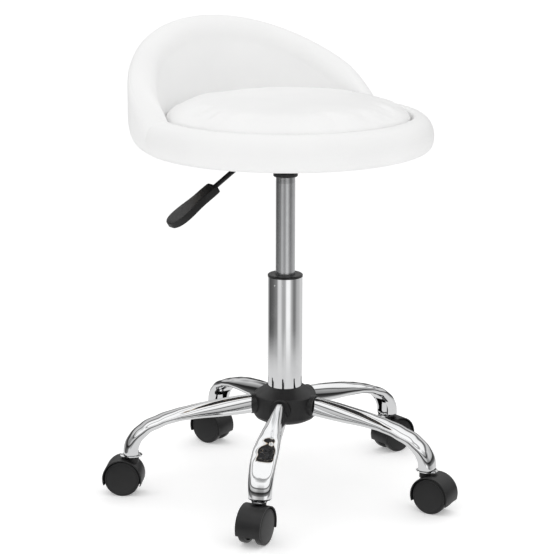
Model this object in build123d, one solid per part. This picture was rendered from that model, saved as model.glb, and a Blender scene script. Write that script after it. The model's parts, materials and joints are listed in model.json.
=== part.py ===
from build123d import *
import os
from math import cos, sin, tan, radians, copysign

# Dentist's stool: a round upholstered seat with a wrap-round back, on a gas lift column
# and a five-leg base with twin-wheel castors. Millimetres, +Z up, origin on the floor
# under the column axis. The seat faces -Y and the height lever points along -X.

# ---- base ----
LEG_COUNT = 5
BASE_TURN = 10.5          # direction of the first leg from +X, degrees
STEM_CIRCLE_R = 225.0     # column axis to each castor stem axis
LEG_RISE = 71.5           # leg centre line at the hub, above the stem sockets' lower face
LEG_WALL = 1.6
LEG_ROOT_H, LEG_ROOT_W = 25.0, 24.0     # section where the leg leaves the hub
LEG_BEND_H, LEG_BEND_W = 12.0, 38.0     # flattened section before the bend
LEG_TIP_H, LEG_TIP_W = 22.0, 32.0       # section at the foot of the bend
HUB_WALL = 5.0
HUB_H = 38.0
WELD_GAP = 0.1            # between a leg's end and the hub it is welded to

# ---- hub cover ----
COVER_OUT = 15.5           # cover outside the hub
COVER_WALL = 2.0
COVER_UP = 24.5           # top lip above the leg centre line
COVER_DOWN = 26.5         # underside below the leg centre line
COVER_SPLIT = 4.5         # joint of the two halves below the leg centre line
COVER_CONE = 13.0         # height of the sloping top
COVER_FOOT_R = 36.0       # flat part of the rounded underside
SNOUT_GAP = 2.0           # between a leg and the short sleeve round it
SNOUT_WALL = 1.5
SNOUT_OUT = 5.0           # how far it stands out of the cover
SNOUT_DROP = 1.5          # its axis below the leg centre line

# ---- castors ----
WHEEL_R = 26.0
WHEEL_W = 10.0
WHEEL_GAP = 17.0          # between the two wheels' inner faces
TRAIL = 14.5              # stem axis to axle
AXLE_R = 3.0
HOOD_WALL = 2.0
HOOD_RUN = 1.0            # between tread and hood
HOOD_DROP = 19.0          # the hood's ends below the axle's level, degrees
HOOD_SIDE = 18.5          # half width of the hood
BOSS_R = 8.5
BOSS_RISE = 3.2           # boss above the hood
STEM_R = 5.5
STEM_L = 22.0
STEM_FLANGE = 1.5
STEM_PIN_R = 4.0
SOCKET_WALL = 1.2
CASTOR_TURNS = (-8.5, 28.3, -14.5, -15.3, -3.9)   # each castor's trail from its leg, degrees
RUN_FIT = 0.05            # radial clearance of a running fit
FACE_GAP = 0.3            # between faces of pieces that move past each other

# ---- gas lift ----
COLUMN_R = 25.0
COLUMN_WALL = 1.5
COLUMN_UP = 188.5         # column tube's top above the leg centre line
COLUMN_DOWN = 17.5        # its foot below the leg centre line
COLUMN_FLOOR = 3.0
COLUMN_TAPER = 0.5        # radius lost in the hub
TAPER_FIT = 0.03
SLOT_COUNT, SLOT_W, SLOT_H, SLOT_TURN = 9, 2.0, 20.0, -132.4
SLOT_SHOW = 15.0          # slot above the hub cover
DIMPLE_R, DIMPLE_DOWN = 1.6, 10.0
DIMPLE_TURNS = (-162.0, -134.0)
BUSH_LIP, BUSH_PROUD, BUSH_L = 3.4, 0.5, 58.0
CYLINDER_R = 14.0
CYLINDER_WALL = 2.0
STROKE = 140.0
LOWERED_GAP = 4.0         # between the seat socket and the bush when fully down
TAPER_L, TAPER_LOSS = 30.0, 0.7
PISTON_ROD_R = 5.0
RACE_H, RACE_R, BALL_R, BALL_COUNT, BALL_FIT = 2.0, 11.0, 2.0, 8, 0.02
BUMP_H, BUMP_R, BUMP_GAP = 10.0, 11.0, 0.5
CLIP_H, CLIP_R = 1.2, 9.0
VALVE_R, VALVE_BORE = 4.0, 30.0

# ---- seat mechanism ----
SOCKET_TUBE = 3.5         # wall of the seat socket outside the cylinder
SOCKET_H = 21.0
SOCKET_FLARE = 0.8
PLATE_SIDE, PLATE_T, PLATE_CORNER = 160.0, 3.0, 14.0
SADDLE_L, SADDLE_W, SADDLE_WALL, SADDLE_DROP = 116.0, 48.0, 2.5, 29.0
BOLT_PITCH, BOLT_R, BOLT_HEAD_R, BOLT_HEAD_H = 126.0, 3.0, 5.8, 3.6
NUT_R, NUT_FLANGE_R, NUT_FLANGE_H = 4.0, 9.0, 1.2

# ---- lever ----
LEVER_R = 3.5
LEVER_DROP = 12.0         # rod's centre under the seat board
PIVOT_X = 45.0            # pivot from the column axis
PIVOT_R = 2.5
EYE_R, EYE_W = 6.5, 12.0
BEND_X = 64.0             # where the rod turns down
LEVER_SLOPE = 32.0
LEVER_END_X = 150.0
GRIP_FROM_X, GRIP_TO_X = 119.5, 197.0
GRIP_W_ROOT, GRIP_W_WAIST, GRIP_W_TIP, GRIP_T = 25.0, 24.0, 32.0, 12.0
LEVER_LIFT = 5.0          # degrees

# ---- seat ----
BOARD_T = 12.0
BOARD_INSET = 23.0        # board's edge inside the rim
COLLAR_TO_BOARD = 45.0    # seat socket's foot to the board's underside
RIM_W = 34.0              # rim outside the cushion
RIM_DROP = 4.0            # padded rim under the board
RIM_TOP = 46.0            # rim above the board's underside
CUSHION_R = 177.0
CUSHION_SHIFT = -6.0      # cushion's centre ahead of the column axis
CUSHION_EDGE = 41.0       # edge height above the board's underside
CUSHION_TOP = 67.0
BACK_TOP = 166.0          # back's highest point above the board's underside
BACK_REACH = 77.0         # half angle of the back at the rim
BACK_LEAN = 11.0          # how far the back's outside stands out past the rim
BACK_CLEAR = 2.0          # back's inside from the cushion, at the rim
BACK_IN_SLOPE = 0.165
BACK_ROLL = 14.0
SHELL_INSET, SHELL_T = 13.0, 6.0
SHELL_REACH, SHELL_DOWN, FLANGE_CLEAR = 58.0, 30.0, 1.5
SCREW_R, SCREW_L, SCREW_INSET = 2.0, 9.0, 5.0
SOFT_GAP = 0.3
CLOTH_T, CLOTH_INSET = 0.8, 16.0

# ---- radii that follow ----
HUB_R = COLUMN_R + HUB_WALL
COVER_R = HUB_R + COVER_OUT
SNOUT_R = max(LEG_ROOT_W, LEG_ROOT_H - 1) / 2 + SNOUT_GAP + SNOUT_WALL
HOOD_R = WHEEL_R + HOOD_RUN + HOOD_WALL
BUSH_LIP_R = COLUMN_R + BUSH_PROUD
SOCKET_R = CYLINDER_R + SOCKET_TUBE
RIM_R = CUSHION_R + RIM_W
BOARD_R = RIM_R - BOARD_INSET
CLOTH_R = BOARD_R - CLOTH_INSET
SHELL_R = RIM_R - SHELL_INSET
SHELL_FLANGE = CUSHION_R + FLANGE_CLEAR
BACK_IN_R = CUSHION_R + BACK_CLEAR

# ---- heights that follow ----
BOSS_TOP = WHEEL_R + HOOD_R + BOSS_RISE
SOCKET_Z = BOSS_TOP + FACE_GAP + STEM_FLANGE
HUB_Z = SOCKET_Z + LEG_RISE
COVER_TOP, COVER_BOTTOM = HUB_Z + COVER_UP, HUB_Z - COVER_DOWN
COLUMN_TOP, COLUMN_FOOT = HUB_Z + COLUMN_UP, HUB_Z - COLUMN_DOWN
BUSH_TOP = COLUMN_TOP + BUSH_LIP
COLLAR_Z = BUSH_TOP + LOWERED_GAP + STROKE
BOARD_Z = COLLAR_Z + COLLAR_TO_BOARD
BALLS_Z = COLUMN_FOOT + COLUMN_FLOOR + RACE_H
BUMP_Z = BALLS_Z + 2 * BALL_R + RACE_H
CYLINDER_FOOT = BUMP_Z + BUMP_H + BUMP_GAP + STROKE
CYLINDER_TOP = COLLAR_Z + SOCKET_H
LEVER_Z = BOARD_Z - LEVER_DROP
VALVE_TOP = LEVER_Z - LEVER_R - FACE_GAP

LEG_ANGLES = [BASE_TURN + 360.0 / LEG_COUNT * i for i in range(LEG_COUNT)]


def save(name, *solids):
    """Write one node, of one solid or a group of like solids."""
    shape = solids[0] if len(solids) == 1 else Compound(children=list(solids))
    export_step(shape, os.path.join("parts", name + ".step"))


def upright(angle):
    """The half plane through the Z axis at this angle: local x is the radius, local y the height."""
    a = radians(angle)
    return Plane(origin=(0, 0, 0), x_dir=(cos(a), sin(a), 0), z_dir=(sin(a), -cos(a), 0))


def rod(radius, low, high, x=0.0, y=0.0):
    """An upright cylinder between two heights."""
    return Pos(x, y, (low + high) / 2) * Cylinder(radius, high - low)


def tube(outer, inner, low, high):
    """An upright tube between two heights."""
    return rod(outer, low, high) - rod(inner, low - 1, high + 1)


def turned(points, arc=360.0):
    """A solid turned about Z from a closed outline of (radius, height) points."""
    return revolve(Plane.XZ * make_face(Polyline(*points, close=True)), Axis.Z, arc)


# ---------------------------------------------------------------- legs

# Each station: share of the way out from the hub to the stem circle, share of the leg's
# rise already lost, the dip of the centre line in degrees, the section's depth and its
# widths at the top and at the bottom.
LEG_STATIONS = (
    (0.000, 0.007, 4, LEG_ROOT_H, 11, LEG_ROOT_W),
    (0.086, 0.024, 5, LEG_ROOT_H - 1, 11, LEG_ROOT_W + 1),
    (0.350, 0.090, 6, LEG_ROOT_H - 2, 13, LEG_ROOT_W + 4),
    (0.563, 0.155, 10, LEG_BEND_H + 4, 20, LEG_BEND_W - 5),
    (0.675, 0.210, 17, LEG_BEND_H, 27, LEG_BEND_W - 2),
    (0.792, 0.308, 28, LEG_BEND_H, 31, LEG_BEND_W),
    (0.909, 0.462, 43, LEG_BEND_H + 2, 32, LEG_BEND_W - 1),
    (0.981, 0.655, 60, LEG_BEND_H + 5, 33, LEG_BEND_W - 3),
    (1.010, 0.830, 78, LEG_TIP_H - 1, LEG_TIP_W, LEG_TIP_W + 1),
    (1.014, 1.000, 90, LEG_TIP_H, LEG_TIP_W - 1, LEG_TIP_W),
)


def leg_section(station, angle, inset):
    """One section across a leg: a rounded trapezoid that is narrower along its top."""
    share_r, share_drop, dip, depth, top_w, bottom_w = station
    depth, top_w, bottom_w = depth - 2 * inset, top_w - 2 * inset, bottom_w - 2 * inset
    a, d = radians(angle), radians(dip)
    start = HUB_R - 1
    r, z = start + share_r * (STEM_CIRCLE_R - start), HUB_Z - share_drop * LEG_RISE
    plane = Plane(
        origin=(r * cos(a), r * sin(a), z),
        x_dir=(-sin(a), cos(a), 0),
        z_dir=(cos(a) * cos(d), sin(a) * cos(d), -sin(d)),
    )
    points = []
    for i in range(16):
        t = radians(22.5 * i)
        u = copysign(abs(cos(t)) ** 0.75, cos(t))
        v = copysign(abs(sin(t)) ** 0.75, sin(t))
        half = (bottom_w + (top_w - bottom_w) * (v + 1) / 2) / 2
        points.append((u * half, v * depth / 2))
    return plane * make_face(Spline(*points, periodic=True))


def leg(angle):
    """A pressed steel leg, hollow, coped onto the hub and open towards it at its foot."""
    body = loft([leg_section(s, angle, 0) for s in LEG_STATIONS])
    hollow = loft([leg_section(s, angle, LEG_WALL) for s in LEG_STATIONS])
    window_top = SOCKET_Z + STEM_L + 3
    window = Pos(STEM_CIRCLE_R - 16, 0, (SOCKET_Z + window_top) / 2 - 5) * Box(
        20, LEG_TIP_W - 10, window_top - SOCKET_Z + 10
    )
    sleeve_room = rod(socket_outer() + WELD_GAP, 0, window_top, STEM_CIRCLE_R)
    hub = rod(HUB_R + WELD_GAP, 0, 2 * HUB_Z)
    return body - hollow - Rot(0, 0, angle) * (window + sleeve_room) - hub


def socket_outer():
    """Outer radius of a stem socket."""
    return STEM_R + RUN_FIT + SOCKET_WALL


def stem_socket(angle):
    """A sleeve for a castor stem, domed shut, with the plate that fixes it in the leg's foot."""
    inner, outer = STEM_R + RUN_FIT, socket_outer()
    top = SOCKET_Z + STEM_L + 0.5
    sleeve = turned([(0, top + 1.6), (outer - 2.6, top + 1.2), (outer, top - 2.5),
                     (outer, SOCKET_Z), (inner, SOCKET_Z), (inner, top - 1), (inner - 1, top), (0, top)])
    plate_d = LEG_TIP_H - 2 * LEG_WALL - 4
    plate = Pos(2.5, 0, SOCKET_Z + 1) * Box(plate_d, LEG_TIP_W - 2 * LEG_WALL - 8, 2)
    plate = plate - rod(outer - 0.5, SOCKET_Z - 1, SOCKET_Z + 3)
    return Rot(0, 0, angle) * Pos(STEM_CIRCLE_R, 0, 0) * (sleeve + plate)


def base_hub():
    """The steel tube that the legs are welded to, bored to the column's taper."""
    half = HUB_H / 2
    low, high = HUB_Z - half, HUB_Z + half
    fit = COLUMN_R + TAPER_FIT
    drop = COLUMN_TAPER * (high - low) / (high - COLUMN_FOOT)
    return turned([(HUB_R, low), (HUB_R, high), (fit, high), (fit - drop, low)])


# ---------------------------------------------------------------- hub cover

def cover_outline(inset):
    """Outside of the hub cover, or its inside when inset by the wall."""
    r, top, low = COVER_R - inset, COVER_TOP - inset, COVER_BOTTOM + inset
    shoulder, bowl = COVER_TOP - COVER_CONE - inset / 2, 7.5
    neck = COLUMN_R + 1
    return [(0, low), (COVER_FOOT_R - inset, low), (r - 2.5, low + bowl / 2), (r, low + bowl),
            (r, shoulder), (r - 1.5, shoulder + 1.5), (neck + 1.5, top - 0.8), (neck, top), (0, top)]


def cover_snouts(radius, reach):
    """Cylinders along every leg, for the sleeves of the hub cover."""
    body = None
    for angle in LEG_ANGLES:
        one = Rot(0, 0, angle) * Pos(reach / 2 + HUB_R / 2, 0, HUB_Z - SNOUT_DROP) * Rot(0, 90, 0) * Cylinder(
            radius, reach - HUB_R
        )
        body = one if body is None else body + one
    return body


def hub_cover():
    """The two plastic halves that clip together round the hub and the legs' roots."""
    outside, inside = turned(cover_outline(0)), turned(cover_outline(COVER_WALL))
    snouts = cover_snouts(SNOUT_R, COVER_R + SNOUT_OUT)
    shell = (outside + snouts) - inside - cover_snouts(SNOUT_R - SNOUT_WALL, COVER_R + 20)
    shell = shell - rod(COLUMN_R + 0.4, HUB_Z, COVER_TOP + 5)
    split = HUB_Z - COVER_SPLIT
    big = 4 * COVER_R
    above = Pos(0, 0, split + big / 2) * Box(big, big, big)
    below = Pos(0, 0, split - big / 2) * Box(big, big, big)
    return shell & above, shell & below


# ---------------------------------------------------------------- gas lift

def column_tube():
    """The lift's outer tube: tapered foot, slots above the hub cover, two crimps near the top."""
    r, inner = COLUMN_R, COLUMN_R - COLUMN_WALL
    hub_top = HUB_Z + HUB_H / 2
    floor = COLUMN_FOOT + COLUMN_FLOOR
    body = turned([(PISTON_ROD_R + 1, COLUMN_FOOT), (r - COLUMN_TAPER, COLUMN_FOOT), (r, hub_top),
                   (r, COLUMN_TOP), (inner, COLUMN_TOP), (inner, floor), (PISTON_ROD_R + 1, floor)])
    slot_top = COVER_TOP + SLOT_SHOW
    for i in range(SLOT_COUNT):
        slot = Pos(r, 0, slot_top - SLOT_H / 2) * Box(3 * COLUMN_WALL, SLOT_W, SLOT_H)
        body -= Rot(0, 0, SLOT_TURN + 360.0 / SLOT_COUNT * i) * slot
    for third in range(3):
        for turn in DIMPLE_TURNS:
            pit = Pos(r + 1.0, 0, COLUMN_TOP - DIMPLE_DOWN) * Sphere(DIMPLE_R)
            body -= Rot(0, 0, turn + 120 * third) * pit
    return body


def column_bushing():
    """The plastic guide in the top of the column, with a lip that covers the tube's edge."""
    outer, bore = COLUMN_R - COLUMN_WALL - RUN_FIT, CYLINDER_R + RUN_FIT
    return turned([(bore, COLUMN_TOP - BUSH_L), (outer, COLUMN_TOP - BUSH_L), (outer, COLUMN_TOP),
                   (BUSH_LIP_R, COLUMN_TOP), (BUSH_LIP_R, BUSH_TOP - 1), (BUSH_LIP_R - 1, BUSH_TOP),
                   (bore + 1, BUSH_TOP), (bore, BUSH_TOP - 1)])


def gas_cylinder():
    """The cylinder that carries the seat: a gland at its foot, a taper at its top."""
    r, bore = CYLINDER_R, CYLINDER_R - CYLINDER_WALL
    gland, head = 12.0, CYLINDER_TOP - VALVE_BORE - 8
    body = turned([(PISTON_ROD_R + RUN_FIT, CYLINDER_FOOT), (r - 1, CYLINDER_FOOT), (r, CYLINDER_FOOT + 1),
                   (r, CYLINDER_TOP - TAPER_L), (r - TAPER_LOSS, CYLINDER_TOP), (0, CYLINDER_TOP),
                   (0, head), (bore, head), (bore, CYLINDER_FOOT + gland),
                   (PISTON_ROD_R + RUN_FIT, CYLINDER_FOOT + gland)])
    return body - rod(VALVE_R + RUN_FIT, CYLINDER_TOP - VALVE_BORE, CYLINDER_TOP + 1)


def piston_rod():
    """The rod that stands on the column's floor, with the piston near the cylinder's foot."""
    clip_low = COLUMN_FOOT - FACE_GAP - CLIP_H
    piston_low = CYLINDER_FOOT + 14
    rim = CYLINDER_R - CYLINDER_WALL - RUN_FIT
    r = PISTON_ROD_R
    return turned([(0, clip_low - 2), (r - 1, clip_low - 2), (r, clip_low - 1), (r, piston_low),
                   (rim, piston_low), (rim, piston_low + 10), (0, piston_low + 10)])


def bearing_ring(low, high):
    """A flat race of the thrust bearing."""
    return tube(RACE_R, PISTON_ROD_R + RUN_FIT, low, high)


def bearing_balls():
    """The ball ring between the races."""
    pitch = (RACE_R + PISTON_ROD_R) / 2
    return [Rot(0, 0, 360.0 / BALL_COUNT * i) * Pos(pitch, 0, BALLS_Z + BALL_R) * Sphere(BALL_R - BALL_FIT)
            for i in range(BALL_COUNT)]


def rod_clip():
    """The C clip that keeps the rod in the column's floor."""
    high = COLUMN_FOOT - FACE_GAP
    ring = tube(CLIP_R, PISTON_ROD_R + 0.02, high - CLIP_H, high)
    return ring - Pos(CLIP_R, 0, high - CLIP_H / 2) * Box(2 * CLIP_R, 2 * PISTON_ROD_R - 2, 2 * CLIP_H)


def valve_pin():
    """The release pin with a domed top that the lever presses."""
    low = CYLINDER_TOP - VALVE_BORE + 6
    r, top = VALVE_R, VALVE_TOP
    return turned([(0, low), (r, low), (r, top - 1), (r * 0.7, top - 0.45), (r * 0.4, top - 0.12), (0, top)])


# ---------------------------------------------------------------- seat mechanism

def taper_socket():
    """The welded socket that grips the cylinder's taper."""
    top = CYLINDER_TOP - 1
    at_top = CYLINDER_R - TAPER_LOSS * (TAPER_L - 1) / TAPER_L + TAPER_FIT
    at_low = CYLINDER_R - TAPER_LOSS * max(0.0, TAPER_L - SOCKET_H) / TAPER_L + TAPER_FIT
    return turned([(at_low, COLLAR_Z), (SOCKET_R - 0.6, COLLAR_Z), (SOCKET_R + 0.2, COLLAR_Z + 1),
                   (SOCKET_R + 0.2, COLLAR_Z + 5), (SOCKET_R - SOCKET_FLARE, COLLAR_Z + 8),
                   (SOCKET_R - SOCKET_FLARE, top), (at_top, top)])


def seat_plate():
    """The pressed plate under the board, with a welded saddle that holds socket and lever."""
    top, low = BOARD_Z, BOARD_Z - PLATE_T
    plate = Pos(0, 0, (top + low) / 2) * Box(PLATE_SIDE, PLATE_SIDE, PLATE_T)
    plate = fillet(plate.edges().filter_by(Axis.Z), PLATE_CORNER)
    floor = BOARD_Z - SADDLE_DROP
    saddle = Pos(0, 0, (floor + low) / 2) * Box(SADDLE_L, SADDLE_W, low - floor)
    saddle = fillet(saddle.edges().filter_by(Axis.Z), 4)
    room = Pos(0, 0, (floor + SADDLE_WALL + low) / 2) * Box(
        SADDLE_L - 2 * SADDLE_WALL, SADDLE_W - 2 * SADDLE_WALL, low - floor - SADDLE_WALL
    )
    slot_low = LEVER_Z - LEVER_R - 5
    slot = Pos(-SADDLE_L / 2, 0, (slot_low + low) / 2) * Box(20, 4 * LEVER_R, low - slot_low)
    body = plate + (saddle - room) - slot
    body -= rod(SOCKET_R - SOCKET_FLARE + 0.02, floor - 1, floor + SADDLE_WALL + 1)
    body -= Pos(-PIVOT_X, 0, LEVER_Z) * Rot(90, 0, 0) * Cylinder(PIVOT_R + 0.02, 2 * SADDLE_W)
    for x in (-1, 1):
        for y in (-1, 1):
            body -= rod(BOLT_R + 0.3, low - 1, top + 1, x * BOLT_PITCH / 2, y * BOLT_PITCH / 2)
    return body


def bolt_places():
    """Centres of the four bolts that hold the plate to the board."""
    half = BOLT_PITCH / 2
    return [(x, y) for x in (-half, half) for y in (-half, half)]


def plate_bolt(x, y):
    """A button-head bolt up through the plate into its tee nut."""
    head_top = BOARD_Z - PLATE_T
    head = rod(BOLT_HEAD_R, head_top - BOLT_HEAD_H, head_top, x, y)
    head = fillet(head.edges().sort_by(Axis.Z)[0], BOLT_HEAD_H * 0.7)
    head -= Pos(x, y, head_top - BOLT_HEAD_H) * extrude(RegularPolygon(2.3, 6), 2)
    return head + rod(BOLT_R, head_top, BOARD_Z + BOARD_T - 1.5, x, y)


def tee_nut(x, y):
    """A nut let into the board from above, with a flat flange."""
    top = BOARD_Z + BOARD_T
    nut = rod(NUT_R, BOARD_Z + 2, top - NUT_FLANGE_H, x, y)
    nut += rod(NUT_FLANGE_R, top - NUT_FLANGE_H, top, x, y)
    return nut - rod(BOLT_R + 0.02, BOARD_Z, top + 1, x, y)


def seat_board():
    """The round plywood board that the upholstery is built on."""
    top = BOARD_Z + BOARD_T
    body = rod(BOARD_R, BOARD_Z, top)
    for x, y in bolt_places():
        body -= rod(NUT_R + 0.02, BOARD_Z - 1, top + 1, x, y)
        body -= rod(NUT_FLANGE_R + 0.02, top - NUT_FLANGE_H, top + 1, x, y)
    for x, y in screw_places():
        body -= rod(SCREW_R + 0.02, top - SCREW_L, top + 1, x, y)
    return body


def lever_path():
    """Centre line of the lever rod, from above the valve pin out to the inside of the grip."""
    run = LEVER_END_X - BEND_X
    end = (-LEVER_END_X, 0, LEVER_Z - run * tan(radians(LEVER_SLOPE)))
    return FilletPolyline((6, 0, LEVER_Z), (-BEND_X, 0, LEVER_Z), end, radius=12)


def lever_rod():
    """The bent steel rod with an eye that turns on the cross pin."""
    body = sweep(Plane(origin=(6, 0, LEVER_Z), z_dir=(-1, 0, 0)) * Circle(LEVER_R), path=lever_path())
    across = Pos(-PIVOT_X, 0, LEVER_Z) * Rot(90, 0, 0)
    body += across * Cylinder(EYE_R, EYE_W)
    return body - across * Cylinder(PIVOT_R + RUN_FIT, 2 * EYE_W)


def lever_frame():
    """A plane at the grip's root whose x runs out along the grip and whose z is its upper face."""
    s = radians(LEVER_SLOPE)
    z = LEVER_Z - (GRIP_FROM_X - BEND_X) * tan(s)
    return Plane(origin=(-GRIP_FROM_X, 0, z), x_dir=(-cos(s), 0, -sin(s)), z_dir=(-sin(s), 0, cos(s)))


def lever_grip():
    """The moulded paddle pushed over the rod's end."""
    length = (GRIP_TO_X - GRIP_FROM_X) / cos(radians(LEVER_SLOPE))
    tip, waist, root = GRIP_W_TIP / 2, GRIP_W_WAIST / 2, GRIP_W_ROOT / 2
    edge = Spline((0, root), (length * 0.3, waist), (length * 0.68, tip), (length, 0),
                  tangents=((1, -0.05), (0, -1)))
    other = Spline((0, -root), (length * 0.3, -waist), (length * 0.68, -tip), (length, 0),
                   tangents=((1, 0.05), (0, 1)))
    outline = make_face(edge + other + Line((0, -root), (0, root)))
    paddle = extrude(lever_frame() * outline, GRIP_T / 2, both=True)
    s = radians(LEVER_SLOPE)
    start = lever_frame().origin
    reach = (LEVER_END_X - GRIP_FROM_X) / cos(s) + 0.5
    hole = Plane(origin=start, z_dir=(-cos(s), 0, -sin(s))) * Cylinder(
        LEVER_R + 0.02, reach, align=(Align.CENTER, Align.CENTER, Align.MIN)
    )
    return paddle - hole


# ---------------------------------------------------------------- seat

def screw_places():
    """Centres of the screws that hold the back shell's flange to the board."""
    r = BOARD_R - SCREW_INSET
    return [(r * cos(radians(90 + a)), r * sin(radians(90 + a))) for a in (-48, -16, 16, 48)]


def back_height(share):
    """Height of the back's top edge, from 1 at its middle down to 0 at the rim."""
    return cos(radians(90) * share) ** 0.85


def back_top(phi):
    """The top edge at this angle from the middle of the back."""
    return BOARD_Z + RIM_TOP + (BACK_TOP - RIM_TOP) * back_height(phi / (BACK_REACH + 0.5))


def back_section(phi):
    """A radial section of the padded back, rolled over along its top."""
    top, low = back_top(phi), BOARD_Z + RIM_TOP - 12
    rim = BOARD_Z + RIM_TOP
    roll = min(BACK_ROLL, (top - low) / 2)
    lean = BACK_LEAN * min(1.0, 0.15 + 2 * (top - rim) / (BACK_TOP - RIM_TOP))

    def outside(z):
        rise = min(1.0, max(0.0, (z - low + 14) / 62))
        return RIM_R - 1 + (lean + 1) * (1 - (1 - rise) ** 2)

    def inside(z):
        return BACK_IN_R + (z - rim) * BACK_IN_SLOPE

    side, mid = top - roll, (top - roll + low) / 2
    middle = (outside(side) + inside(side)) / 2
    face = Spline((inside(low), low), (inside(mid), mid), (inside(side), side), (middle, top),
                  (outside(side), side), (outside(mid), mid), (outside(low), low))
    return upright(90 + phi) * make_face(face + Line((outside(low), low), (inside(low), low)))


def arch(widen):
    """An upright slab cut to the back shell's front view, for trimming it."""
    low = BOARD_Z - 5
    points = []
    for i in range(9):
        phi = -SHELL_REACH + 2 * SHELL_REACH * i / 8
        points.append((SHELL_R * sin(radians(phi)) * (1 + widen / SHELL_R), back_top(phi) - SHELL_DOWN + widen))
    left, right = points[0][0], points[-1][0]
    face = make_face(Spline(*points) + Line(points[-1], (right, low)) + Line((right, low), (left, low))
                     + Line((left, low), points[0]))
    return extrude(Plane.XZ * face, -2 * RIM_R)


def back_shell_form(gap):
    """The moulded shell inside the back, with the flange that is screwed to the board."""
    top = BOARD_Z + BACK_TOP
    foot = BOARD_Z + BOARD_T
    wall = tube(SHELL_R + SHELL_T + gap, SHELL_R - gap, foot - gap / 2, top)
    flange = tube(SHELL_R + 1, SHELL_FLANGE - gap, foot - gap / 2, foot + SHELL_T + gap)
    return (wall + flange) & arch(gap)


def back_shell():
    """The back's shell with its screw holes."""
    body = back_shell_form(0)
    foot = BOARD_Z + BOARD_T
    for x, y in screw_places():
        body -= rod(SCREW_R + 0.02, foot - 1, foot + SHELL_T + 1, x, y)
    return body


def shell_screw(x, y):
    """A pan-head screw through the flange into the board."""
    foot = BOARD_Z + BOARD_T
    head = rod(4, foot + SHELL_T, foot + SHELL_T + 2.4, x, y)
    return head + rod(SCREW_R, foot - SCREW_L, foot + SHELL_T, x, y)


def cushion_form(gap):
    """The crowned seat cushion."""
    foot, edge, top = BOARD_Z + BOARD_T, BOARD_Z + CUSHION_EDGE, BOARD_Z + CUSHION_TOP
    r = CUSHION_R + gap
    crown = Spline((r, edge), (r * 0.86, edge + (top - edge) * 0.62), (r * 0.55, top - 4), (0, top),
                   tangents=((-0.35, 1), (-1, 0)))
    profile = make_face(Line((0, foot), (r, foot)) + Line((r, foot), (r, edge)) + crown
                        + Line((0, top), (0, foot)))
    return Pos(0, CUSHION_SHIFT, 0) * revolve(Plane.XZ * profile, Axis.Z)


def upholstery():
    """The padded rim and the padded back on it, hollow where board, shell and cushion sit."""
    low, top = BOARD_Z - RIM_DROP, BOARD_Z + RIM_TOP
    inner = CLOTH_R + 3
    crest, foot = RIM_R - 25, RIM_R - 24
    outline = (Line((inner, low + 3), (inner, top)) + Line((inner, top), (crest, top))
               + Spline((crest, top), (RIM_R - 6.5, top - 9), (RIM_R, low + 24), (RIM_R - 5, low + 9),
                        (foot, low), tangents=((1, 0), (-1, 0)))
               + Line((foot, low), (inner, low + 3)))
    rim = revolve(Plane.XZ * make_face(outline), Axis.Z)
    steps = 12
    back = loft([back_section(-BACK_REACH + 2 * BACK_REACH * i / steps) for i in range(steps + 1)])
    room = Pos(0, CUSHION_SHIFT, 0) * rod(CUSHION_R + SOFT_GAP, BOARD_Z + BOARD_T - 0.2, BOARD_Z + 2 * BACK_TOP)
    room += rod(BOARD_R + SOFT_GAP, BOARD_Z - SOFT_GAP, BOARD_Z + BOARD_T + SOFT_GAP)
    shell = back_shell_form(SOFT_GAP)
    for x, y in screw_places():
        shell += rod(4 + SOFT_GAP, BOARD_Z + BOARD_T, BOARD_Z + BOARD_T + SHELL_T + 2.4 + SOFT_GAP, x, y)
    return rim - room - shell, back - rim - room - shell


def under_cover():
    """The black cloth tacked under the board, cut out round the plate."""
    body = rod(CLOTH_R, BOARD_Z - CLOTH_T, BOARD_Z)
    hole = PLATE_SIDE + 4
    return body - Pos(0, 0, BOARD_Z) * Box(hole, hole, 4 * CLOTH_T)


# ---------------------------------------------------------------- castors

def castor_place(index):
    """Where a castor stands, turned so that its own +X is the trail."""
    angle = LEG_ANGLES[index]
    a = radians(angle)
    return Pos(STEM_CIRCLE_R * cos(a), STEM_CIRCLE_R * sin(a), 0) * Rot(0, 0, angle + CASTOR_TURNS[index])


def across(radius, low, high, x=TRAIL):
    """A cylinder along the axle, between two distances from the castor's middle."""
    return Pos(x, (low + high) / 2, WHEEL_R) * Rot(90, 0, 0) * Cylinder(radius, high - low)


def castor_hood():
    """The fender over both wheels, the web between them and the boss for the stem."""
    inner = HOOD_R - HOOD_WALL
    web = WHEEL_GAP / 2 - 1
    fender = across(HOOD_R, -HOOD_SIDE, HOOD_SIDE) - across(inner, -2 * HOOD_SIDE, 2 * HOOD_SIDE)
    body = fender + across(HOOD_R - 0.5, -web, web)
    low = WHEEL_R - HOOD_R * sin(radians(HOOD_DROP))
    body &= Pos(TRAIL, 0, low + HOOD_R) * Box(4 * HOOD_R, 4 * HOOD_SIDE, 2 * HOOD_R)
    body += across(AXLE_R + 4, -web, web)
    body += rod(web, low + 8, WHEEL_R + HOOD_R - 3) + rod(BOSS_R, WHEEL_R + inner * 0.86, BOSS_TOP)
    body -= across(AXLE_R + 0.02, -2 * web, 2 * web)
    return body - rod(STEM_PIN_R + RUN_FIT, low + 11, BOSS_TOP + 1)


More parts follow.
